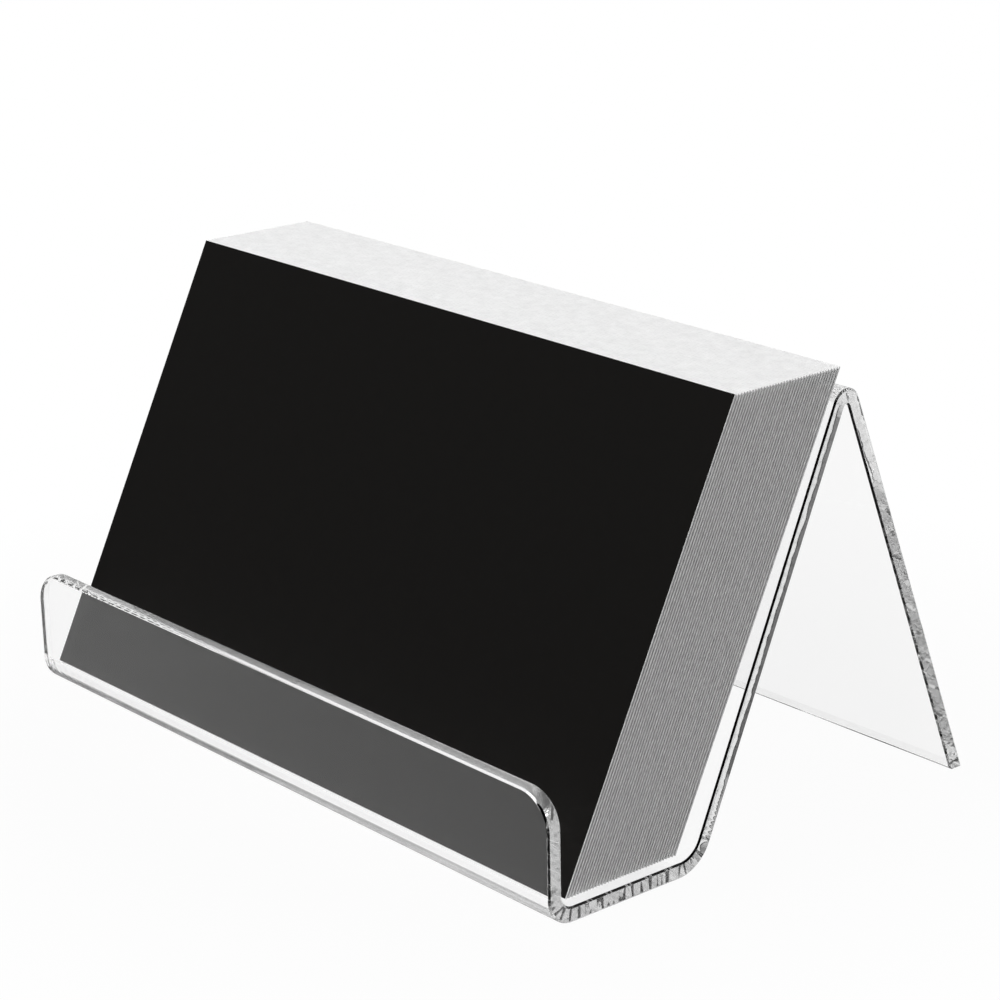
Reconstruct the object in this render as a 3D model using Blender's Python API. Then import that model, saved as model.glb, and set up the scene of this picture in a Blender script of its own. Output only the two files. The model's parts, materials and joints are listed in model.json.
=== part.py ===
"""Desk stand for business cards: one heat-bent clear acrylic sheet, loaded with a pack of loose cards.

The sheet is lofted from the lip to the rear foot, one cross-section at each station of its bent path.
The cards stand behind the lip, lean on the folded top edge and lift out one by one, each in its own plane.
Metres, +Z up, front towards -Y, origin on the desk below the middle of the stand.
"""

from math import asin, atan2, cos, pi, radians, sin, sqrt, tan

import bmesh
import bpy
from mathutils import Vector

# Cards
CARD_WIDTH = 0.090
CARD_HEIGHT = 0.054
CARD_THICKNESS = 0.00025
CARD_AIR_GAP = 0.00013
CARD_COUNT = 38

# Acrylic sheet
SHEET_THICKNESS = 0.0018
SHEET_SIDE_MARGIN = 0.0007
STAND_HEIGHT = 0.0490
LIP_HEIGHT = 0.0146
LIP_CORNER_RADIUS = 0.004
LIP_LEAN = radians(1.5)
BACKREST_LEAN = radians(23)
LEG_LEAN = radians(22.7)

# Inside radii of the three heat bends
FRONT_BEND_RADIUS = 0.0016
REAR_BEND_RADIUS = 0.003
FOLD_RADIUS = 0.0003

# Clearances of the pack: above the ledge, to the fold and to the hollow of the front bend
FOOT_GAP = 0.0006
REST_GAP = 0.00015
FRONT_GAP = 0.00055

# Facets
CORNER_STEPS = 8
BEND_STEP_ANGLE = radians(9)


def principled(name, colour, roughness, transmission=0.0, ior=1.5):
    """A plain Principled material; colour is linear RGB."""
    material = bpy.data.materials.new(name)
    material.use_nodes = True
    shader = material.node_tree.nodes["Principled BSDF"]
    shader.inputs["Base Color"].default_value = (*colour, 1.0)
    shader.inputs["Roughness"].default_value = roughness
    shader.inputs["Metallic"].default_value = 0.0
    shader.inputs["Transmission Weight"].default_value = transmission
    shader.inputs["IOR"].default_value = ior
    return material


def heading(angle):
    """Unit vector in the YZ plane; angle 0 points back along +Y, a quarter turn points up."""
    return Vector((cos(angle), sin(angle)))


def crossing(point_a, angle_a, point_b, angle_b):
    """Where two lines in the YZ plane meet, each given by a point and its heading."""
    along_a = heading(angle_a)
    along_b = heading(angle_b)
    between = point_b - point_a
    reach = between.cross(along_b) / along_a.cross(along_b)
    return point_a + along_a * reach


class Profile:
    """Side view of the bent sheet in the YZ plane, with y = 0 at the foot of the backrest."""

    # Headings of the four straight runs, from the lip's top edge to the rear foot
    lip = LIP_LEAN - pi / 2
    ledge = 0.0
    backrest = pi / 2 - BACKREST_LEAN
    leg = LEG_LEAN - pi / 2

    # Where the ledge's upper face would meet the backrest's front face without a bend
    rear_corner = Vector((0.0, SHEET_THICKNESS))
    rear_bend_reach = REAR_BEND_RADIUS * tan((backrest - ledge) / 2)
    front_bend_reach = FRONT_BEND_RADIUS * tan((ledge - lip) / 2)

    # The fold's centre lies below the stand's highest point, one outside radius behind the front face
    fold_outside = FOLD_RADIUS + SHEET_THICKNESS
    fold_height = STAND_HEIGHT - fold_outside
    fold_centre = Vector(
        (
            (fold_height - SHEET_THICKNESS) * tan(BACKREST_LEAN) + fold_outside / cos(BACKREST_LEAN),
            fold_height,
        )
    )


class Pack:
    """Where the cards stand: the last one's foot at the rear bend, its back against the fold."""

    pitch = CARD_THICKNESS + CARD_AIR_GAP
    foot = Vector((-Profile.rear_bend_reach, SHEET_THICKNESS + FOOT_GAP))
    to_fold = Profile.fold_centre - foot
    tilt = atan2(to_fold.x, to_fold.y) - asin((Profile.fold_outside + REST_GAP) / to_fold.length)
    depth = (CARD_COUNT - 1) * pitch / cos(tilt)
    front = foot.x - depth - CARD_THICKNESS * cos(tilt)
    front_level = FOOT_GAP + CARD_THICKNESS * sin(tilt)

    # How far the front card's foot reaches into the hollow of the front bend
    drop = max(0.0, FRONT_BEND_RADIUS - front_level)
    hollow = sqrt(max(0.0, (FRONT_BEND_RADIUS - FRONT_GAP) ** 2 - drop**2))


def sheet_corners():
    """The four corners of the sheet's mid-line and its two ends, as sharp points in the YZ plane."""
    half = SHEET_THICKNESS / 2
    front_corner = Vector((Pack.front + Pack.hollow - Profile.front_bend_reach, SHEET_THICKNESS))
    lip_point = front_corner - heading(Profile.lip + pi / 2) * half
    ledge_point = Vector((0.0, half))
    backrest_point = Profile.rear_corner - heading(Profile.backrest + pi / 2) * half
    leg_point = Profile.fold_centre + heading(Profile.leg + pi / 2) * (Profile.fold_outside - half)

    front = crossing(lip_point, Profile.lip, ledge_point, Profile.ledge)
    rear = crossing(ledge_point, Profile.ledge, backrest_point, Profile.backrest)
    apex = crossing(backrest_point, Profile.backrest, leg_point, Profile.leg)
    lip_top = crossing(lip_point, Profile.lip, Vector((0.0, LIP_HEIGHT)), Profile.ledge)
    foot = crossing(leg_point, Profile.leg, Vector((0.0, 0.0)), Profile.ledge)
    return lip_top, front, rear, apex, foot


def bend_stations(corner, heading_in, heading_out, inside_radius):
    """Mid-line points and headings round one bend, from its first to its last tangent point."""
    turn = heading_out - heading_in
    side = 1.0 if turn > 0 else -1.0
    radius = inside_radius + SHEET_THICKNESS / 2
    start = corner - heading(heading_in) * (radius * tan(abs(turn) / 2))
    centre = start + heading(heading_in + side * pi / 2) * radius
    steps = max(2, round(abs(turn) / BEND_STEP_ANGLE))
    stations = []
    for step in range(steps + 1):
        angle = heading_in + turn * step / steps
        stations.append((centre - heading(angle + side * pi / 2) * radius, angle))
    return stations


def sheet_stations():
    """Every cross-section of the sheet: mid-line point, heading and half width."""
    lip_top, front, rear, apex, foot = sheet_corners()
    half_width = CARD_WIDTH / 2 + SHEET_SIDE_MARGIN
    stations = []
    for step in range(CORNER_STEPS + 1):
        angle = pi / 2 * (1 - step / CORNER_STEPS)
        below_top = LIP_CORNER_RADIUS * (1 - sin(angle))
        inset = LIP_CORNER_RADIUS * (1 - cos(angle))
        stations.append((lip_top + heading(Profile.lip) * below_top, Profile.lip, half_width - inset))
    bends = bend_stations(front, Profile.lip, Profile.ledge, FRONT_BEND_RADIUS)
    bends += bend_stations(rear, Profile.ledge, Profile.backrest, REAR_BEND_RADIUS)
    bends += bend_stations(apex, Profile.backrest, Profile.leg, FOLD_RADIUS)
    bends.append((foot, Profile.leg))
    for point, angle in bends:
        stations.append((point, angle, half_width))
    return stations


def section(point, angle, half_width, level):
    """One cross-section of the sheet as four 3D corners; a level one is cut along the desk.

    Upper and lower are the sheet's two faces as it lies flat, before it is bent.
    """
    across = heading(angle + pi / 2) * (SHEET_THICKNESS / 2)
    upper = point + across
    lower = point - across
    if level:
        upper -= heading(angle) * (upper.y / sin(angle))
        lower -= heading(angle) * (lower.y / sin(angle))
    return [
        (-half_width, lower.x, lower.y),
        (half_width, lower.x, lower.y),
        (half_width, upper.x, upper.y),
        (-half_width, upper.x, upper.y),
    ]


def make_stand(material):
    """The bent acrylic sheet: lip, ledge, backrest, fold and rear leg in one piece."""
    stations = sheet_stations()
    mesh = bpy.data.meshes.new("acrylic_stand")
    shape = bmesh.new()
    rings = []
    for number, (point, angle, half_width) in enumerate(stations):
        level = number == len(stations) - 1
        corners = section(point, angle, half_width, level)
        rings.append([shape.verts.new(corner) for corner in corners])
    for ring, following in zip(rings, rings[1:]):
        for side in range(4):
            after = (side + 1) % 4
            shape.faces.new((ring[side], following[side], following[after], ring[after]))
    shape.faces.new(rings[0])
    shape.faces.new(list(reversed(rings[-1])))
    bmesh.ops.recalc_face_normals(shape, faces=shape.faces)
    depths = [vertex.co.y for vertex in shape.verts]
    shape.to_mesh(mesh)
    shape.free()
    mesh.materials.append(material)
    mesh.shade_smooth()
    mesh.set_sharp_from_angle(angle=radians(30))
    stand = bpy.data.objects.new("acrylic_stand", mesh)
    stand.location.y = -(min(depths) + max(depths)) / 2
    bpy.context.collection.objects.link(stand)
    return stand


def card_mesh(name, face, stock):
    """A square-cut card, upright; its origin is the middle of the rear lower edge."""
    mesh = bpy.data.meshes.new(name)
    shape = bmesh.new()
    bmesh.ops.create_cube(shape, size=1.0)
    bmesh.ops.scale(shape, vec=(CARD_WIDTH, CARD_THICKNESS, CARD_HEIGHT), verts=shape.verts)
    bmesh.ops.translate(shape, vec=(0.0, -CARD_THICKNESS / 2, CARD_HEIGHT / 2), verts=shape.verts)
    for side in shape.faces:
        side.material_index = 0 if side.normal.y < -0.5 else 1
    shape.to_mesh(mesh)
    shape.free()
    mesh.materials.append(face)
    mesh.materials.append(stock)
    return mesh


def make_cards(stand, black, white):
    """The pack: a black card in front of plain white ones, on a seat tilted along their lift."""
    seat = bpy.data.objects.new("card_seat", None)
    seat.empty_display_size = CARD_HEIGHT / 4
    seat.parent = stand
    seat.location = (0.0, Pack.foot.x - Pack.depth, Pack.foot.y)
    seat.rotation_euler.x = -Pack.tilt
    bpy.context.collection.objects.link(seat)
    front_mesh = card_mesh("front_card", black, white)
    plain_mesh = card_mesh("plain_card", white, white)
    for number in range(CARD_COUNT):
        name = "front_card" if number == 0 else f"card_{number + 1:02d}"
        card = bpy.data.objects.new(name, front_mesh if number == 0 else plain_mesh)
        card.parent = seat
        back = number * Pack.pitch
        card.location = (0.0, back, back * tan(Pack.tilt))
        bpy.context.collection.objects.link(card)


def main():
    for item in list(bpy.data.objects):
        bpy.data.objects.remove(item, do_unlink=True)
    acrylic = principled("clear_acrylic", (0.95, 0.96, 0.96), 0.02, transmission=1.0, ior=1.49)
    black = principled("black_card_face", (0.011, 0.010, 0.009), 0.55)
    white = principled("white_card_stock", (0.85, 0.85, 0.84), 0.8)
    stand = make_stand(acrylic)
    make_cards(stand, black, white)


main()
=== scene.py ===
"""Dresses a desk stand for business cards: one bent sheet of clear acrylic and the pack of cards in it.

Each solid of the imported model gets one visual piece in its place. The sheet is cut flat and then bent along
its path, and the cards are laid out as one pack and picked out one by one.
Metres, +Z up, front towards -Y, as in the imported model.
"""

import json
from math import atan2, cos, degrees, pi, radians, sin, tan

import bmesh
import bpy
from bpy.props import FloatProperty, FloatVectorProperty, IntProperty, PointerProperty, StringProperty
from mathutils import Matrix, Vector
from mathutils.geometry import intersect_line_line


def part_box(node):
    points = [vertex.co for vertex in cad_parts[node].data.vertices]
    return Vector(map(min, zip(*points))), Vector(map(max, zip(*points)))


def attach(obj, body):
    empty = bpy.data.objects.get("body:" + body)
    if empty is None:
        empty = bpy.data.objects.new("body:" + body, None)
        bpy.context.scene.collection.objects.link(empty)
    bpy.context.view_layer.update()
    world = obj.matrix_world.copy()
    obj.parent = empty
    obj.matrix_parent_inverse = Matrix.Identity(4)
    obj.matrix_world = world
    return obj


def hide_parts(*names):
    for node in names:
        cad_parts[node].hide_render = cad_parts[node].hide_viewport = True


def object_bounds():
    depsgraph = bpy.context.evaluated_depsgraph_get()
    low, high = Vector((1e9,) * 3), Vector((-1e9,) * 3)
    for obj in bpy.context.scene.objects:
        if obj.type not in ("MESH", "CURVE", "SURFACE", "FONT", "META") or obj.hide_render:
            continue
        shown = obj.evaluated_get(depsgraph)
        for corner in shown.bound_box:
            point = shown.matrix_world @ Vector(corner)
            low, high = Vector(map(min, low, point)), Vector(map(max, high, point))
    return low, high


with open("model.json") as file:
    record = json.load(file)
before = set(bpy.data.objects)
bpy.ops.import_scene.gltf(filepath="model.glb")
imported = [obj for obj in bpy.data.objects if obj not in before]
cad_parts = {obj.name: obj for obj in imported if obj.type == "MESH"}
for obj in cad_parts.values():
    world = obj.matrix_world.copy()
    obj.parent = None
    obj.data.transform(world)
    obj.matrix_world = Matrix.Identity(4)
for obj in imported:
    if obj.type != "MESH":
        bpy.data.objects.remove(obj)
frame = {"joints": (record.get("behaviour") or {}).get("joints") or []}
cad_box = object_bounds()

bl_info = {
    "name": "Acrylic Card Stand",
    "version": (1, 0, 0),
    "blender": (4, 5, 0),
    "location": "View3D > Sidebar > Card Stand",
    "description": "Dresses a bent acrylic card stand and its pack of cards",
    "category": "Object",
}

MILLIMETRE = 0.001

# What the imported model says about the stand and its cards
STAND = "acrylic_stand"
STAND_BODY = "stand"
STAND_LOW, STAND_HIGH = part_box(STAND)
CARDS = sorted((joint["child"] for joint in frame["joints"]), key=lambda card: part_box(card)[0].y)
LIFT = Vector(frame["joints"][0]["axis"])
CARD_TILT = atan2(LIFT.y, LIFT.z)

# Attributes that the meshes carry for their materials
CUT_EDGE = "cut_edge"
PRINTED_FACE = "printed_face"
FLAT_PLACE = "flat_place"


def upright_card_size():
    """Width, thickness and height of a card, worked out from the box round the tilted front card."""
    low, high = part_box(CARDS[0])
    width, depth, rise = high - low
    spread = cos(2 * CARD_TILT)
    thickness = (depth * cos(CARD_TILT) - rise * sin(CARD_TILT)) / spread
    height = (rise * cos(CARD_TILT) - depth * sin(CARD_TILT)) / spread
    return width, thickness, height


def card_step():
    """Distance from one card's foot to the next along the ledge."""
    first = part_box(CARDS[0])[0].y
    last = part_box(CARDS[-1])[0].y
    return (last - first) / (len(CARDS) - 1)


CARD_WIDTH, CARD_THICKNESS, CARD_HEIGHT = upright_card_size()

# The cards are drawn at this share of their solids' thickness, so that the air between them shows
DRAWN_THICKNESS = 0.8


# Settings that a user would change

def length(name, description, default):
    """A length in metres, shown in the scene's units."""
    return FloatProperty(
        name=name,
        description=description,
        default=default,
        min=0.0,
        precision=5,
        unit="LENGTH",
        subtype="DISTANCE",
    )


def angle(name, description, in_degrees):
    """An angle, given in degrees."""
    return FloatProperty(
        name=name, description=description, default=radians(in_degrees), unit="ROTATION", subtype="ANGLE"
    )


def factor(name, description, default):
    """A share between nothing and all."""
    return FloatProperty(
        name=name, description=description, default=default, min=0.0, max=1.0, precision=3, subtype="FACTOR"
    )


class SheetSettings(bpy.types.PropertyGroup):
    """Sizes of the bent acrylic sheet."""

    width: length("Width", "Across the stand, from end to end", STAND_HIGH.x - STAND_LOW.x)
    thickness: length("Thickness", "Thickness of the acrylic sheet", 0.0018)
    lip_height: length("Lip Height", "Top of the front lip above the desk", 0.0146)
    lip_corner: length("Lip Corner", "Radius of the lip's two upper corners", 0.004)
    lip_lean: angle("Lip Lean", "How far the lip leans forward", 1.5)
    backrest_lean: angle("Backrest Lean", "How far the backrest leans back", 23)
    leg_lean: angle("Leg Lean", "How far the rear leg stands out", 22.7)
    front_bend: length("Front Bend", "Inside radius of the bend below the lip", 0.0016)
    rear_bend: length("Rear Bend", "Inside radius of the bend below the backrest", 0.003)
    fold: length("Fold", "Inside radius of the fold at the top", 0.0003)
    arris: length("Arris", "Width of the bevel scraped along both sides of a cut edge", 0.00027)
    arris_slope: angle("Arris Slope", "How far the scraped bevel turns from the cut edge to the face", 38)
    soft_left: length("Soft Left", "Width of the slim bevels that ease the arris at the left end", 0.00012)
    soft_right: length("Soft Right", "Width of the slim bevels that ease the arris at the right end", 0.00002)


class CardSettings(bpy.types.PropertyGroup):
    """Sizes of the cards and how loosely they stand."""

    width: length("Width", "Width of a card", CARD_WIDTH)
    height: length("Height", "Height of a card", CARD_HEIGHT)
    thickness: length("Thickness", "Thickness of the stock", CARD_THICKNESS * DRAWN_THICKNESS)
    step: length("Step", "From one card's foot to the next along the ledge", card_step())
    tilt: angle("Tilt", "How far the pack leans back", degrees(CARD_TILT))
    edge_round: length("Edge Round", "Rounding of the cut edges", 0.00003)
    side_scatter: length("Side Scatter", "How far a card strays sideways", 0.00002)
    lift_scatter: length("Lift Scatter", "How far a card stands up out of line", 0.00003)
    seed: IntProperty(name="Seed", description="Seed of the scatter", default=7)


class FinishSettings(bpy.types.PropertyGroup):
    """Colours as sRGB hex values."""

    acrylic: StringProperty(name="Acrylic", description="Tint of the clear acrylic", default="#ffffff")
    black_print: StringProperty(name="Black Print", description="Face of the front card", default="#141312")
    white_stock: StringProperty(name="White Stock", description="Faces of the white cards", default="#fafafa")
    cut_stock: StringProperty(name="Cut Stock", description="Cut edges of the cards", default="#fcfcfc")
    floor: StringProperty(name="Floor", description="The studio floor", default="#a2a2a2")


class StageSettings(bpy.types.PropertyGroup):
    """Camera and studio light."""

    azimuth: angle("Azimuth", "Camera's place round the stand, from the front towards +X", 48.398)
    elevation: angle("Elevation", "Camera's angle above the desk", 18.269)
    distance: length("Distance", "From the camera to its target", 0.35308)
    target: FloatVectorProperty(
        name="Target",
        description="Point that the camera looks at",
        default=(-0.003208, 0.005007, 0.025774),
        unit="LENGTH",
        subtype="XYZ",
        precision=5,
    )
    sensor: FloatProperty(
        name="Sensor", description="Width of the sensor in millimetres", default=36.0, unit="CAMERA"
    )
    lens: FloatProperty(
        name="Lens", description="Focal length in millimetres", default=108.228, unit="CAMERA"
    )
    key_level: factor("Key Light", "Share of white that the front light gives a sheet facing it", 0.89)
    side_level: factor("Side Light", "Share of white that the side light gives a sheet facing it", 0.325)
    back_level: factor("Back Light", "Share of white that the back light gives a sheet facing it", 0.4)
    room_level: factor("Room Light", "Share of white that comes evenly from all round", 0.04)
    floor_glow: factor("Floor Glow", "Share of the floor that stays white under any shadow", 0.965)


class CardStandSettings(bpy.types.PropertyGroup):
    """Everything that can be set on the card stand."""

    sheet: PointerProperty(type=SheetSettings)
    cards: PointerProperty(type=CardSettings)
    finish: PointerProperty(type=FinishSettings)
    stage: PointerProperty(type=StageSettings)


# Helpers for node trees

def linear(hex_colour):
    """Linear RGBA of an sRGB hex colour."""
    channels = [int(hex_colour[place : place + 2], 16) / 255 for place in (1, 3, 5)]
    return (*(c / 12.92 if c <= 0.04045 else ((c + 0.055) / 1.055) ** 2.4 for c in channels), 1.0)


def add_node(tree, kind, inputs=None, **settings):
    """One node with its settings; each input takes a value or the socket that feeds it."""
    node = tree.nodes.new(kind)
    for name, value in settings.items():
        setattr(node, name, value)
    for key, value in (inputs or {}).items():
        if isinstance(value, bpy.types.NodeSocket):
            tree.links.new(value, node.inputs[key])
        else:
            node.inputs[key].default_value = value
    return node


def new_material(name):
    """A material with an empty node tree, and that tree."""
    material = bpy.data.materials.new(name)
    material.use_nodes = True
    material.node_tree.nodes.clear()
    return material, material.node_tree


def ramp_product(tree, *ramps):
    """Product of ramps, each given as the value it follows, its two ends and its results there."""
    results = []
    for value, start, end, at_start, at_end in ramps:
        ramp = add_node(
            tree,
            "ShaderNodeMapRange",
            {"Value": value, "From Min": start, "From Max": end, "To Min": at_start, "To Max": at_end},
        )
        results.append(ramp.outputs["Result"])
    product = results[0]
    for result in results[1:]:
        scaled = add_node(tree, "ShaderNodeMath", {0: product, 1: result}, operation="MULTIPLY")
        product = scaled.outputs["Value"]
    return product


def new_geometry_tree(name, inputs):
    """A geometry tree that takes a mesh and the named inputs, and the sockets that give them inside it."""
    tree = bpy.data.node_groups.new(name, "GeometryNodeTree")
    tree.interface.new_socket("Geometry", in_out="INPUT", socket_type="NodeSocketGeometry")
    for socket_name, kind in inputs.items():
        tree.interface.new_socket(socket_name, in_out="INPUT", socket_type=kind)
    tree.interface.new_socket("Geometry", in_out="OUTPUT", socket_type="NodeSocketGeometry")
    return tree, add_node(tree, "NodeGroupInput").outputs


def grow_piece(name, mesh, tree, values):
    """A piece made by running a geometry tree on a mesh, left as a plain mesh at the origin."""
    piece = bpy.data.objects.new(name, mesh)
    bpy.context.scene.collection.objects.link(piece)
    modifier = piece.modifiers.new(tree.name, "NODES")
    modifier.node_group = tree
    sockets = {item.name: item.identifier for item in tree.interface.items_tree if item.in_out == "INPUT"}
    for socket_name, value in values.items():
        modifier[sockets[socket_name]] = value
    normals = piece.modifiers.new("Weighted Normals", "WEIGHTED_NORMAL")
    normals.keep_sharp = True
    graph = bpy.context.evaluated_depsgraph_get()
    grown = bpy.data.meshes.new_from_object(
        piece.evaluated_get(graph), preserve_all_data_layers=True, depsgraph=graph
    )
    if not grown.polygons:
        raise RuntimeError(f"{name} came out empty")
    piece.modifiers.clear()
    piece.data = grown
    grown.name = name
    return piece


# Materials

def drawn_out_place(tree, crest, run):
    """Place on the flat sheet, counted in crests, which are run times longer through the thickness."""
    place = add_node(tree, "ShaderNodeAttribute", attribute_name=FLAT_PLACE)
    counted = add_node(
        tree,
        "ShaderNodeVectorMath",
        {0: place.outputs["Vector"], 1: (1 / crest, 1 / crest, 1 / (crest * run))},
        operation="MULTIPLY",
    )
    return counted.outputs["Vector"]


def clear_acrylic(tree, tint, place, relief, dull=0.0):
    """Clear acrylic: a hard polish that bends the light and holds it in, with hardly any tint.

    Crests wave its surface, relief high, and the share in dull scatters the light instead.
    """
    waves = add_node(tree, "ShaderNodeTexNoise", {"Vector": place, "Scale": 1.0, "Detail": 2.0})
    bump = add_node(tree, "ShaderNodeBump", {"Height": waves.outputs["Fac"], "Distance": relief})
    shader = add_node(
        tree,
        "ShaderNodeBsdfPrincipled",
        {
            "Base Color": tint,
            "Roughness": 0.0,
            "IOR": 1.49,
            "Transmission Weight": 1.0 - dull,
            "Normal": bump.outputs["Normal"],
        },
    )
    # Light that runs a long way inside the sheet fades a little
    haze = add_node(tree, "ShaderNodeVolumeAbsorption", {"Color": linear("#f5f5f5"), "Density": 5.0})
    add_node(
        tree,
        "ShaderNodeOutputMaterial",
        {"Surface": shader.outputs["BSDF"], "Volume": haze.outputs["Volume"]},
    )


def cast_faces(colour):
    """Acrylic cast between glass plates: all but flat, with a slow wave in what it mirrors."""
    material, tree = new_material("clear_cast_acrylic")
    place = drawn_out_place(tree, crest=14 * MILLIMETRE, run=1.0)
    clear_acrylic(tree, linear(colour), place, relief=0.004 * MILLIMETRE)
    return material


def buffed_edges(colour):
    """Cut acrylic, scraped and buffed by hand: uneven, a little dull, and scored across its edge, with the
    scores drawn much darker near the desk as painted shade.
    """
    material, tree = new_material("buffed_acrylic_edge")
    crest = 2 * MILLIMETRE
    place = drawn_out_place(tree, crest, run=4.0)

    # Real scores are finer, and are drawn as coarse as they need to be to show
    score_grain = 0.625 * MILLIMETRE
    scores = add_node(
        tree, "ShaderNodeTexNoise", {"Vector": place, "Scale": crest / score_grain, "Detail": 0.0}
    )

    # The scores darken the edge; near the desk they are drawn much stronger, as painted shade where the edges
    # meet the desk
    shade_strongest_below = 2 * MILLIMETRE
    shade_faint_above = 8 * MILLIMETRE
    stand_place = add_node(tree, "ShaderNodeTexCoord").outputs["Object"]
    height = add_node(tree, "ShaderNodeSeparateXYZ", {"Vector": stand_place}).outputs["Z"]
    scores_and_painted_shade = ramp_product(
        tree,
        (scores.outputs["Fac"], 0.36, 0.42, 0.95, 0.0),
        (height, shade_strongest_below, shade_faint_above, 1.0, 0.2),
    )
    passed = add_node(tree, "ShaderNodeMath", {0: 1.0, 1: scores_and_painted_shade}, operation="SUBTRACT")
    tint = add_node(
        tree,
        "ShaderNodeVectorMath",
        {0: linear(colour)[:3], 1: passed.outputs["Value"]},
        operation="MULTIPLY",
    )
    clear_acrylic(tree, tint.outputs["Vector"], place, relief=0.03 * MILLIMETRE, dull=0.2)
    return material


def paper(name, colour, roughness, specular, fibre, depth, mottle):
    """Uncoated card: fibres that break up the light, and a cloudy colour as the pulp settled.

    Real fibres are some 0.02 mm wide, and are drawn as coarse as fibre, so that they show.
    """
    material, tree = new_material(name)
    place = add_node(tree, "ShaderNodeTexCoord").outputs["Object"]
    fibres = add_node(
        tree, "ShaderNodeTexNoise", {"Vector": place, "Scale": 1 / fibre, "Detail": 4.0, "Roughness": 0.65}
    ).outputs["Fac"]
    cloud = 5 * fibre
    clouds = add_node(tree, "ShaderNodeTexNoise", {"Vector": place, "Scale": 1 / cloud, "Detail": 4.0})
    shade = add_node(
        tree,
        "ShaderNodeMapRange",
        {
            "Value": clouds.outputs["Fac"],
            "From Min": 0.3,
            "From Max": 0.7,
            "To Min": 1 - mottle,
            "To Max": 1.0,
        },
    )
    tinted = add_node(
        tree,
        "ShaderNodeVectorMath",
        {0: linear(colour)[:3], 1: shade.outputs["Result"]},
        operation="MULTIPLY",
    )
    uneven = 0.06
    gloss = add_node(
        tree,
        "ShaderNodeMapRange",
        {"Value": fibres, "To Min": roughness - uneven, "To Max": roughness + uneven},
    )
    bump = add_node(tree, "ShaderNodeBump", {"Height": fibres, "Strength": 0.4, "Distance": depth})
    shader = add_node(
        tree,
        "ShaderNodeBsdfPrincipled",
        {
            "Base Color": tinted.outputs["Vector"],
            "Roughness": gloss.outputs["Result"],
            "IOR": 1.5,
            "Specular IOR Level": specular,
            "Normal": bump.outputs["Normal"],
        },
    )
    add_node(tree, "ShaderNodeOutputMaterial", {"Surface": shader.outputs["BSDF"]})
    return material


def black_print(colour):
    """Matt black ink on the front card: soaks up the light, with hardly any gloss."""
    return paper(
        "matt_black_print",
        colour,
        roughness=0.62,
        specular=0.04,
        fibre=0.3 * MILLIMETRE,
        depth=0.01 * MILLIMETRE,
        mottle=0.06,
    )


def white_stock(colour):
    """Bare faces of the white cards: bright and chalky, with soft clouds."""
    return paper(
        "white_card_stock",
        colour,
        roughness=0.85,
        specular=0.3,
        fibre=0.3 * MILLIMETRE,
        depth=0.02 * MILLIMETRE,
        mottle=0.08,
    )


def cut_stock(colour):
    """Edges of the cards as the guillotine leaves them: duller, with a fine strong speckle."""
    return paper(
        "cut_card_edge",
        colour,
        roughness=0.9,
        specular=0.2,
        fibre=0.1 * MILLIMETRE,
        depth=0.01 * MILLIMETRE,
        mottle=0.25,
    )


# The bent sheet

def heading(turn):
    """Unit vector in side view; a turn of 0 points back along +Y, a quarter turn points up."""
    return Vector((0.0, cos(turn), sin(turn)))


def crossing(point_a, turn_a, point_b, turn_b):
    """Where two lines of the side view meet, each given by a point and its heading."""
    return intersect_line_line(point_a, point_a + heading(turn_a), point_b, point_b + heading(turn_b))[0]


class SheetPath:
    """Mid-line of the sheet in side view, from the lip's top edge over the ledge and the fold to the foot."""

    def __init__(self, sheet):
        half = sheet.thickness / 2
        lip = sheet.lip_lean - pi / 2
        ledge = 0.0
        backrest = pi / 2 - sheet.backrest_lean
        leg = sheet.leg_lean - pi / 2

        # The lip's outer top edge and the foot's rear edge are the ends of the stand's box
        lip_top = Vector((0.0, STAND_LOW.y + half * cos(sheet.lip_lean), sheet.lip_height))
        foot = Vector((0.0, STAND_HIGH.y - half / cos(sheet.leg_lean), STAND_LOW.z))
        ledge_point = Vector((0.0, 0.0, STAND_LOW.z + half))

        # The fold touches the top of the box, and the leg and the backrest run off it
        fold_radius = sheet.fold + half
        fold_level = Vector((0.0, 0.0, STAND_HIGH.z - sheet.fold - sheet.thickness))
        fold_centre = crossing(foot - heading(leg + pi / 2) * fold_radius, leg, fold_level, ledge)
        backrest_point = fold_centre + heading(backrest + pi / 2) * fold_radius

        front = crossing(lip_top, lip, ledge_point, ledge)
        rear = crossing(ledge_point, ledge, backrest_point, backrest)
        apex = crossing(backrest_point, backrest, foot, leg)
        past_foot = foot + heading(leg) * sheet.thickness
        self.corners = (lip_top, front, rear, apex, foot, past_foot)
        self.radii = (sheet.front_bend + half, sheet.rear_bend + half, fold_radius)
        self.turns = (ledge - lip, backrest - ledge, backrest - leg)
        self.measure()

    def measure(self):
        """Where each bend starts and ends along the sheet, and how long the flat sheet is."""
        along = 0.0
        reach_before = 0.0
        self.bends = []
        for place, (radius, turn) in enumerate(zip(self.radii, self.turns)):
            reach = radius * tan(turn / 2)
            run = (self.corners[place + 1] - self.corners[place]).length
            start = along + run - reach_before - reach
            along = start + radius * turn
            self.bends.append((start, along))
            reach_before = reach
        self.length = along + (self.corners[4] - self.corners[3]).length - reach_before


def sheet_outline(sheet, path, inset):
    """Points round the flat sheet, moved in by inset: a foot corner and a round lip corner on each side."""
    corner_steps = 10
    half_width = sheet.width / 2
    left = [Vector((inset - half_width, path.length - inset))]
    for step in range(corner_steps + 1):
        turn = pi + step / corner_steps * pi / 2
        centre = Vector((sheet.lip_corner - half_width, sheet.lip_corner))
        left.append(centre + Vector((cos(turn), sin(turn))) * (sheet.lip_corner - inset))
    return left + [Vector((-point.x, point.y)) for point in reversed(left)]


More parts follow.
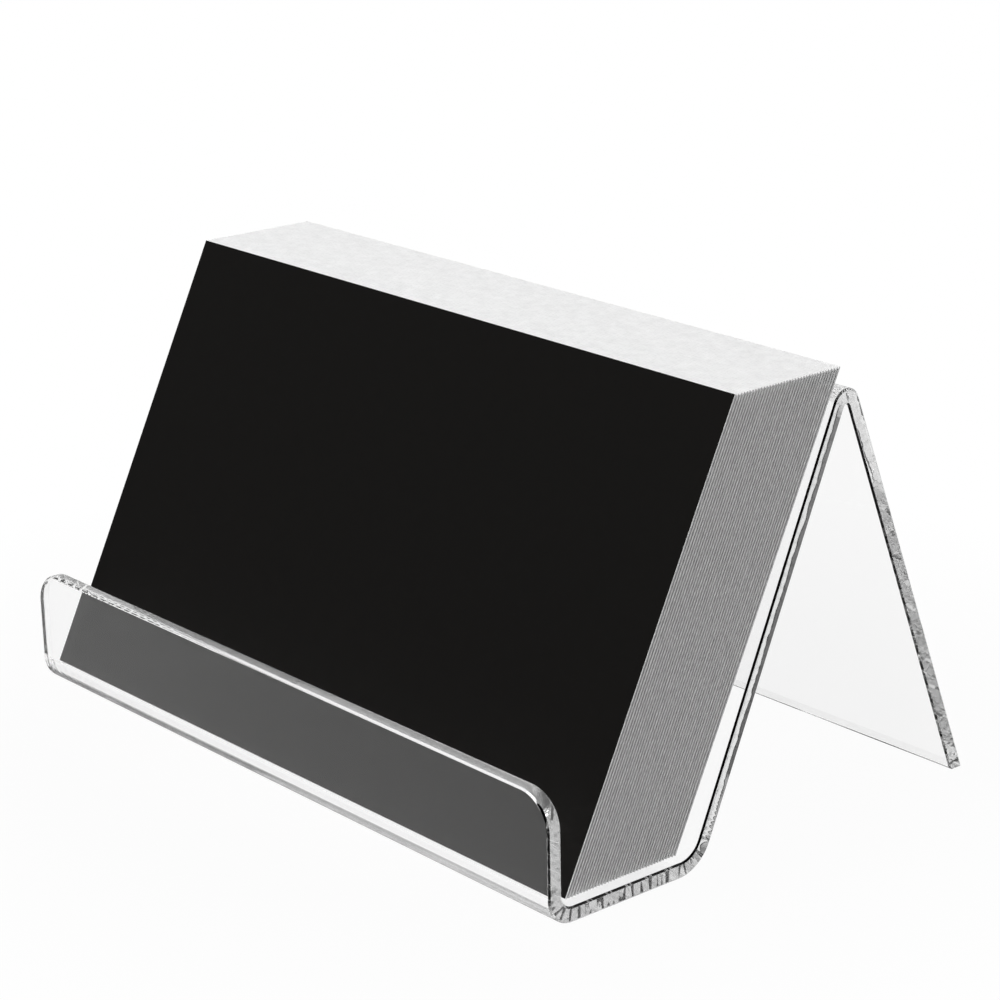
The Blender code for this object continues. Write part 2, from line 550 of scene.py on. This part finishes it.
def edge_rings(sheet, soft):
    """Level and inset of each line along the cut edge, from the lower face to the upper one."""
    bevels = (
        (sheet.arris_slope / 2, soft),
        (sheet.arris_slope, sheet.arris),
        ((sheet.arris_slope + pi / 2) / 2, soft),
    )
    level = sheet.thickness / 2 - sum(width * cos(slope) for slope, width in bevels)
    inset = 0.0
    upper = [(level, inset)]
    for slope, width in bevels:
        level += width * cos(slope)
        inset += width * sin(slope)
        upper.append((level, inset))
    return [(-level, inset) for level, inset in reversed(upper)] + upper


def flat_sheet(sheet, path):
    """The sheet as it is cut, lying flat: x across, y along from the lip, z through its thickness."""
    bend_steps = 32
    sharp_angle = radians(12)
    tolerance = 0.0001 * MILLIMETRE
    # Only the cut edge itself is scored; the scraped bevels lean more than this and stay clear
    most_lean = 0.3

    shape = bmesh.new()
    cut_edge = shape.faces.layers.bool.new(CUT_EDGE)
    rings = []
    for left, right in zip(edge_rings(sheet, sheet.soft_left), edge_rings(sheet, sheet.soft_right)):
        ring = []
        for side, (level, inset) in ((-1, left), (1, right)):
            for point in sheet_outline(sheet, path, inset):
                if point.x * side > 0:
                    ring.append(shape.verts.new((point.x, point.y, level)))
        rings.append(ring)
    shape.faces.new(reversed(rings[0]))
    shape.faces.new(rings[-1])
    for ring, above in zip(rings, rings[1:]):
        for place in range(len(ring)):
            after = (place + 1) % len(ring)
            shape.faces.new((ring[place], ring[after], above[after], above[place]))
    shape.normal_update()
    for face in shape.faces:
        face[cut_edge] = abs(face.normal.z) < most_lean
        face.smooth = True

    for start, end in path.bends:
        for step in range(bend_steps + 1):
            bmesh.ops.bisect_plane(
                shape,
                geom=[*shape.verts, *shape.edges, *shape.faces],
                plane_co=(0.0, start + (end - start) * step / bend_steps, 0.0),
                plane_no=(0.0, 1.0, 0.0),
                dist=tolerance,
            )
    for edge in shape.edges:
        edge.smooth = edge.calc_face_angle() < sharp_angle

    # The foot is cut level, so it is sheared to the leg's lean when flat
    leg_start = path.bends[-1][1]
    for vertex in shape.verts:
        share = max(0.0, (vertex.co.y - leg_start) / (path.length - leg_start))
        vertex.co.y += share * vertex.co.z * tan(sheet.leg_lean)

    mesh = bpy.data.meshes.new("flat_sheet")
    shape.to_mesh(mesh)
    shape.free()
    return mesh


def bending_tree():
    """Geometry nodes that wrap a flat sheet round a path with filleted corners."""
    corner_names = ("Lip Top", "Front Corner", "Rear Corner", "Fold Corner", "Foot", "Past Foot")
    radius_names = ("Front Radius", "Rear Radius", "Fold Radius")
    inputs = {name: "NodeSocketVector" for name in corner_names}
    inputs.update({name: "NodeSocketFloat" for name in radius_names})
    inputs.update({"Faces": "NodeSocketMaterial", "Edges": "NodeSocketMaterial"})
    tree, given = new_geometry_tree("Bend Sheet", inputs)
    index = add_node(tree, "GeometryNodeInputIndex").outputs["Index"]

    corner = add_node(tree, "GeometryNodeIndexSwitch", data_type="VECTOR")
    radius = add_node(tree, "GeometryNodeIndexSwitch", data_type="FLOAT")
    # A new switch has two items already
    for switch in (corner, radius):
        for _ in range(len(corner_names) - 2):
            switch.index_switch_items.new()
        tree.links.new(index, switch.inputs["Index"])
    for place, name in enumerate(corner_names):
        tree.links.new(given[name], corner.inputs[place + 1])
    # The path starts with an end that isn't bent, so the radii begin one place later
    for place, name in enumerate(radius_names):
        tree.links.new(given[name], radius.inputs[place + 2])

    points = add_node(
        tree, "GeometryNodePoints", {"Count": len(corner_names), "Position": corner.outputs["Output"]}
    )
    sharp = add_node(
        tree, "GeometryNodePointsToCurves", {"Points": points.outputs["Points"], "Weight": index}
    )
    bend_points = 64
    path = add_node(
        tree,
        "GeometryNodeFilletCurve",
        {"Curve": sharp.outputs["Curves"], "Count": bend_points, "Radius": radius.outputs["Output"]},
        mode="POLY",
    )

    place = add_node(tree, "GeometryNodeInputPosition").outputs["Position"]
    marked = add_node(
        tree,
        "GeometryNodeStoreNamedAttribute",
        {"Geometry": given["Geometry"], "Name": FLAT_PLACE, "Value": place},
        data_type="FLOAT_VECTOR",
    )
    flat = add_node(tree, "ShaderNodeSeparateXYZ", {"Vector": place}).outputs
    along = add_node(
        tree,
        "GeometryNodeSampleCurve",
        {"Curves": path.outputs["Curve"], "Length": flat["Y"]},
        mode="LENGTH",
        use_all_curves=True,
    ).outputs
    upward = add_node(
        tree,
        "ShaderNodeVectorMath",
        {0: (1.0, 0.0, 0.0), 1: along["Tangent"]},
        operation="CROSS_PRODUCT",
    )
    through = add_node(
        tree,
        "ShaderNodeVectorMath",
        {0: upward.outputs["Vector"], "Scale": flat["Z"]},
        operation="SCALE",
    )
    across = add_node(tree, "ShaderNodeCombineXYZ", {"X": flat["X"]})
    lifted = add_node(tree, "ShaderNodeVectorMath", {0: along["Position"], 1: through.outputs["Vector"]})
    bent_place = add_node(
        tree, "ShaderNodeVectorMath", {0: lifted.outputs["Vector"], 1: across.outputs["Vector"]}
    )
    bent = add_node(
        tree,
        "GeometryNodeSetPosition",
        {"Geometry": marked.outputs["Geometry"], "Position": bent_place.outputs["Vector"]},
    )

    realized = add_node(tree, "GeometryNodeRealizeInstances", {"Geometry": bent.outputs["Geometry"]})
    faces = add_node(
        tree,
        "GeometryNodeSetMaterial",
        {"Geometry": realized.outputs["Geometry"], "Material": given["Faces"]},
    )
    is_edge = add_node(tree, "GeometryNodeInputNamedAttribute", {"Name": CUT_EDGE}, data_type="BOOLEAN")
    edges = add_node(
        tree,
        "GeometryNodeSetMaterial",
        {
            "Geometry": faces.outputs["Geometry"],
            "Selection": is_edge.outputs["Attribute"],
            "Material": given["Edges"],
        },
    )
    add_node(tree, "NodeGroupOutput", {"Geometry": edges.outputs["Geometry"]})
    return tree, corner_names, radius_names


class CARDSTAND_OT_bend_sheet(bpy.types.Operator):
    """Cut the acrylic sheet flat and bend it to the stand"""

    bl_idname = "card_stand.bend_sheet"
    bl_label = "Bend Acrylic Sheet"

    def execute(self, context):
        settings = context.scene.card_stand
        path = SheetPath(settings.sheet)
        tree, corner_names, radius_names = bending_tree()
        values = dict(zip(corner_names, path.corners))
        values.update(zip(radius_names, path.radii))
        values["Faces"] = cast_faces(settings.finish.acrylic)
        values["Edges"] = buffed_edges(settings.finish.acrylic)
        piece = grow_piece("bent_sheet", flat_sheet(settings.sheet, path), tree, values)
        # Clear acrylic lets the light through, so it throws no solid shadow
        piece.visible_shadow = False
        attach(piece, STAND_BODY)
        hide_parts(STAND)
        return {"FINISHED"}


# The pack of cards

def upright_card(cards):
    """One card, upright, with its rear lower edge along x at the origin and its cut edges softened."""
    square_on = 0.99
    shape = bmesh.new()
    printed_face = shape.faces.layers.bool.new(PRINTED_FACE)
    cut_edge = shape.faces.layers.bool.new(CUT_EDGE)
    bmesh.ops.create_cube(shape, size=1.0)
    bmesh.ops.scale(shape, vec=(cards.width, cards.thickness, cards.height), verts=shape.verts)
    bmesh.ops.translate(shape, vec=(0.0, -cards.thickness / 2, cards.height / 2), verts=shape.verts)
    bmesh.ops.bevel(
        shape, geom=shape.edges[:], offset=cards.edge_round, segments=2, profile=0.5, affect="EDGES"
    )
    shape.normal_update()
    for face in shape.faces:
        face[printed_face] = face.normal.y < -square_on
        face[cut_edge] = abs(face.normal.y) < square_on
        face.smooth = True
    mesh = bpy.data.meshes.new("upright_card")
    shape.to_mesh(mesh)
    shape.free()
    return mesh


def pack_tree():
    """Geometry nodes that set cards in a leaning row, a little out of line, and keep one of them."""
    inputs = {
        "Cards": "NodeSocketInt",
        "Card Number": "NodeSocketInt",
        "First Foot": "NodeSocketVector",
        "Step": "NodeSocketFloat",
        "Tilt": "NodeSocketFloat",
        "Side Scatter": "NodeSocketFloat",
        "Lift Scatter": "NodeSocketFloat",
        "Seed": "NodeSocketInt",
        "Front": "NodeSocketMaterial",
        "Back": "NodeSocketMaterial",
        "Edges": "NodeSocketMaterial",
    }
    tree, given = new_geometry_tree("Stack Cards", inputs)
    step = add_node(tree, "ShaderNodeCombineXYZ", {"Y": given["Step"]})
    feet = add_node(
        tree,
        "GeometryNodeMeshLine",
        {"Count": given["Cards"], "Start Location": given["First Foot"], "Offset": step.outputs["Vector"]},
    )

    tilt_back = add_node(tree, "ShaderNodeMath", {0: given["Tilt"], 1: -1.0}, operation="MULTIPLY")
    turn = add_node(tree, "ShaderNodeCombineXYZ", {"X": tilt_back.outputs["Value"]})
    rotation = add_node(tree, "FunctionNodeEulerToRotation", {"Euler": turn.outputs["Vector"]})
    lean = rotation.outputs["Rotation"]
    scatter = add_node(
        tree, "ShaderNodeCombineXYZ", {"X": given["Side Scatter"], "Z": given["Lift Scatter"]}
    )
    chance = add_node(
        tree,
        "FunctionNodeRandomValue",
        {0: (-1.0, 0.0, 0.0), 1: (1.0, 0.0, 1.0), "Seed": given["Seed"]},
        data_type="FLOAT_VECTOR",
    )
    stray = add_node(
        tree,
        "ShaderNodeVectorMath",
        {0: chance.outputs[0], 1: scatter.outputs["Vector"]},
        operation="MULTIPLY",
    )
    in_plane = add_node(
        tree, "FunctionNodeRotateVector", {"Vector": stray.outputs["Vector"], "Rotation": lean}
    )
    loose = add_node(
        tree,
        "GeometryNodeSetPosition",
        {"Geometry": feet.outputs["Mesh"], "Offset": in_plane.outputs["Vector"]},
    )

    index = add_node(tree, "GeometryNodeInputIndex").outputs["Index"]
    wanted = add_node(
        tree, "FunctionNodeCompare", {2: index, 3: given["Card Number"]}, data_type="INT", operation="EQUAL"
    )
    standing = add_node(
        tree,
        "GeometryNodeInstanceOnPoints",
        {
            "Points": loose.outputs["Geometry"],
            "Selection": wanted.outputs["Result"],
            "Instance": given["Geometry"],
            "Rotation": lean,
        },
    )
    realized = add_node(tree, "GeometryNodeRealizeInstances", {"Geometry": standing.outputs["Instances"]})
    finished = add_node(
        tree,
        "GeometryNodeSetMaterial",
        {"Geometry": realized.outputs["Geometry"], "Material": given["Back"]},
    )
    for attribute, material in ((PRINTED_FACE, "Front"), (CUT_EDGE, "Edges")):
        marked = add_node(tree, "GeometryNodeInputNamedAttribute", {"Name": attribute}, data_type="BOOLEAN")
        finished = add_node(
            tree,
            "GeometryNodeSetMaterial",
            {
                "Geometry": finished.outputs["Geometry"],
                "Selection": marked.outputs["Attribute"],
                "Material": given[material],
            },
        )
    add_node(tree, "NodeGroupOutput", {"Geometry": finished.outputs["Geometry"]})
    return tree


class CARDSTAND_OT_stack_cards(bpy.types.Operator):
    """Stand the pack of cards in the trough, one piece for each card"""

    bl_idname = "card_stand.stack_cards"
    bl_label = "Stack Cards"

    def execute(self, context):
        cards = context.scene.card_stand.cards
        colours = context.scene.card_stand.finish
        black = black_print(colours.black_print)
        white = white_stock(colours.white_stock)
        tree = pack_tree()
        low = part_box(CARDS[0])[0]
        values = {
            "Cards": len(CARDS),
            "First Foot": Vector((0.0, low.y + cards.thickness * cos(cards.tilt), low.z)),
            "Step": cards.step,
            "Tilt": cards.tilt,
            "Side Scatter": cards.side_scatter,
            "Lift Scatter": cards.lift_scatter,
            "Seed": cards.seed,
            "Back": white,
            "Edges": cut_stock(colours.cut_stock),
        }
        for number, card in enumerate(CARDS):
            values["Card Number"] = number
            values["Front"] = black if number == 0 else white
            piece = grow_piece(f"{card}_sheet", upright_card(cards), tree, values)
            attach(piece, card)
            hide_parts(card)
        return {"FINISHED"}


# The stage

def seen_directly(tree, mirrored):
    """1 for what the camera sees itself or through the acrylic, mirrored for a reflection, else 0."""
    light_path = add_node(tree, "ShaderNodeLightPath").outputs
    reflection = add_node(
        tree, "ShaderNodeMath", {0: light_path["Is Glossy Ray"], 1: mirrored}, operation="MULTIPLY"
    ).outputs["Value"]
    seen = light_path["Is Camera Ray"]
    for ray in (light_path["Is Transmission Ray"], reflection):
        seen = add_node(tree, "ShaderNodeMath", {0: seen, 1: ray}, operation="MAXIMUM").outputs["Value"]
    return seen


def studio_floor(colours, glow):
    """Seamless paper: matt, and burnt out to white in the picture save for a soft shadow."""
    material, tree = new_material("white_studio_paper")
    place = add_node(tree, "ShaderNodeTexCoord").outputs["Object"]
    grain = 2 * MILLIMETRE
    tooth = add_node(tree, "ShaderNodeTexNoise", {"Vector": place, "Scale": 1 / grain, "Detail": 3.0})
    bump = add_node(
        tree,
        "ShaderNodeBump",
        {"Height": tooth.outputs["Fac"], "Strength": 0.1, "Distance": 0.05 * MILLIMETRE},
    )
    matt = add_node(
        tree,
        "ShaderNodeBsdfPrincipled",
        {
            "Base Color": linear(colours.floor),
            "Roughness": 0.9,
            "Specular IOR Level": 0.1,
            "Normal": bump.outputs["Normal"],
        },
    )
    white = add_node(tree, "ShaderNodeEmission", {"Strength": 1.0})

    # The shadow shows close round the stand and is lost further out; the acrylic mirrors little of the white
    shadow_fades = 50 * MILLIMETRE
    shadow_ends = 100 * MILLIMETRE
    mirrored = 0.02
    away = add_node(tree, "ShaderNodeVectorMath", {0: place}, operation="LENGTH")
    burnt_out = add_node(
        tree,
        "ShaderNodeMapRange",
        {
            "Value": away.outputs["Value"],
            "From Min": shadow_fades,
            "From Max": shadow_ends,
            "To Min": glow,
            "To Max": 1.0,
        },
    )
    shown = add_node(
        tree,
        "ShaderNodeMath",
        {0: seen_directly(tree, mirrored), 1: burnt_out.outputs["Result"]},
        operation="MULTIPLY",
    )
    mixed = add_node(
        tree,
        "ShaderNodeMixShader",
        {"Fac": shown.outputs["Value"], 1: matt.outputs["BSDF"], 2: white.outputs["Emission"]},
    )
    add_node(tree, "ShaderNodeOutputMaterial", {"Surface": mixed.outputs["Shader"]})
    return material


def studio_world(room_level, backdrop_side):
    """Even room light; reflections show a white backdrop on one side and a dark studio on the other."""
    world = bpy.data.worlds.new("studio")
    world.use_nodes = True
    tree = world.node_tree
    tree.nodes.clear()
    white = linear("#ffffff")
    room = add_node(tree, "ShaderNodeBackground", {"Color": white, "Strength": room_level})
    towards = add_node(tree, "ShaderNodeTexCoord").outputs["Generated"]
    facing = add_node(
        tree, "ShaderNodeVectorMath", {0: towards, 1: backdrop_side}, operation="DOT_PRODUCT"
    ).outputs["Value"]
    height = add_node(tree, "ShaderNodeSeparateXYZ", {"Vector": towards}).outputs["Z"]

    # A white sweep behind the stand, and a grey arch over it from side to side
    sweep = ramp_product(tree, (facing, 0.2, 0.45, 0.04, 0.8), (height, 0.75, 0.95, 1.0, 0.3))
    arch = ramp_product(
        tree, (height, 0.2, 0.45, 0.0, 0.44), (facing, 0.3, 0.5, 1.0, 0.25), (facing, -0.3, 0.0, 0.0, 1.0)
    )
    light_path = add_node(tree, "ShaderNodeLightPath").outputs
    brightest = sweep
    for part in (arch, light_path["Is Camera Ray"]):
        brightest = add_node(
            tree, "ShaderNodeMath", {0: brightest, 1: part}, operation="MAXIMUM"
        ).outputs["Value"]
    backdrop = add_node(tree, "ShaderNodeBackground", {"Color": white, "Strength": brightest})
    mixed = add_node(
        tree,
        "ShaderNodeMixShader",
        {"Fac": seen_directly(tree, 1.0), 1: room.outputs["Background"], 2: backdrop.outputs["Background"]},
    )
    add_node(tree, "ShaderNodeOutputWorld", {"Surface": mixed.outputs["Shader"]})
    return world


def direction(azimuth, elevation):
    """Unit vector from the stand towards a place round it; azimuth 0 is in front, towards -Y."""
    level = cos(elevation)
    return Vector((sin(azimuth) * level, -cos(azimuth) * level, sin(elevation)))


def soft_lamp(name, azimuth, elevation, level):
    """A square soft box that gives a white sheet facing it the share of white in level."""
    distance = 0.9
    width = 0.7
    lamp = bpy.data.lights.new(name, "AREA")
    lamp.size = width
    lamp.energy = level * (pi * distance) ** 2
    towards = direction(azimuth, elevation)
    placed = bpy.data.objects.new(name, lamp)
    placed.location = towards * distance
    placed.rotation_mode = "QUATERNION"
    placed.rotation_quaternion = towards.to_track_quat("Z", "Y")
    bpy.context.scene.collection.objects.link(placed)
    return placed


class CARDSTAND_OT_set_stage(bpy.types.Operator):
    """Lay the floor, hang the lamps and place the camera"""

    bl_idname = "card_stand.set_stage"
    bl_label = "Set Stage"

    def execute(self, context):
        scene = context.scene
        stage = scene.card_stand.stage
        floor_size = 6.0
        floor_drop = 0.02 * MILLIMETRE
        mesh = bpy.data.meshes.new("floor")
        shape = bmesh.new()
        bmesh.ops.create_grid(shape, x_segments=1, y_segments=1, size=floor_size / 2)
        shape.to_mesh(mesh)
        shape.free()
        mesh.materials.append(studio_floor(scene.card_stand.finish, stage.floor_glow))
        floor = bpy.data.objects.new("floor", mesh)
        floor.location.z = cad_box[0].z - floor_drop
        scene.collection.objects.link(floor)

        soft_lamp("key_light", radians(-5), radians(46), stage.key_level)
        # The two fills are kept out of what the acrylic mirrors and lets through
        for fill in (
            soft_lamp("side_light", radians(100), radians(15), stage.side_level),
            soft_lamp("back_light", radians(215), radians(25), stage.back_level),
        ):
            fill.visible_glossy = False
            fill.visible_transmission = False
        scene.world = studio_world(stage.room_level, direction(stage.azimuth + pi, 0.0))

        back = direction(stage.azimuth, stage.elevation)
        camera = bpy.data.objects.new("camera", bpy.data.cameras.new("camera"))
        camera.data.sensor_width = stage.sensor
        camera.data.lens = stage.lens
        camera.data.clip_start = stage.distance / 100
        camera.location = Vector(stage.target) + back * stage.distance
        camera.rotation_mode = "QUATERNION"
        camera.rotation_quaternion = back.to_track_quat("Z", "Y")
        scene.collection.objects.link(camera)
        scene.camera = camera

        scene.view_settings.view_transform = "Standard"
        # Light is thrown to and fro inside the sheet many times before it leaves
        most_bounces = 32
        scene.cycles.max_bounces = most_bounces
        scene.cycles.glossy_bounces = most_bounces
        scene.cycles.transmission_bounces = most_bounces
        return {"FINISHED"}


class CARDSTAND_PT_panel(bpy.types.Panel):
    """Lists the steps that dress the card stand"""

    bl_idname = "CARDSTAND_PT_panel"
    bl_label = "Card Stand"
    bl_space_type = "VIEW_3D"
    bl_region_type = "UI"
    bl_category = "Card Stand"

    def draw(self, context):
        settings = context.scene.card_stand
        for operator, group in (
            (CARDSTAND_OT_bend_sheet, settings.sheet),
            (CARDSTAND_OT_stack_cards, settings.cards),
            (CARDSTAND_OT_set_stage, settings.stage),
        ):
            box = self.layout.box()
            box.operator(operator.bl_idname)
            for name in group.__annotations__:
                box.prop(group, name)
        finish = self.layout.box()
        for name in settings.finish.__annotations__:
            finish.prop(settings.finish, name)


CLASSES = (
    SheetSettings,
    CardSettings,
    FinishSettings,
    StageSettings,
    CardStandSettings,
    CARDSTAND_OT_bend_sheet,
    CARDSTAND_OT_stack_cards,
    CARDSTAND_OT_set_stage,
    CARDSTAND_PT_panel,
)


def register():
    """Make the settings, the steps and the panel known to Blender."""
    for item in CLASSES:
        bpy.utils.register_class(item)
    bpy.types.Scene.card_stand = PointerProperty(type=CardStandSettings)


def unregister():
    """Take back what register made known."""
    del bpy.types.Scene.card_stand
    for item in reversed(CLASSES):
        bpy.utils.unregister_class(item)


def main():
    """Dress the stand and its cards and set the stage."""
    register()
    bpy.ops.card_stand.bend_sheet()
    bpy.ops.card_stand.stack_cards()
    bpy.ops.card_stand.set_stage()


if __name__ == "__main__":
    main()
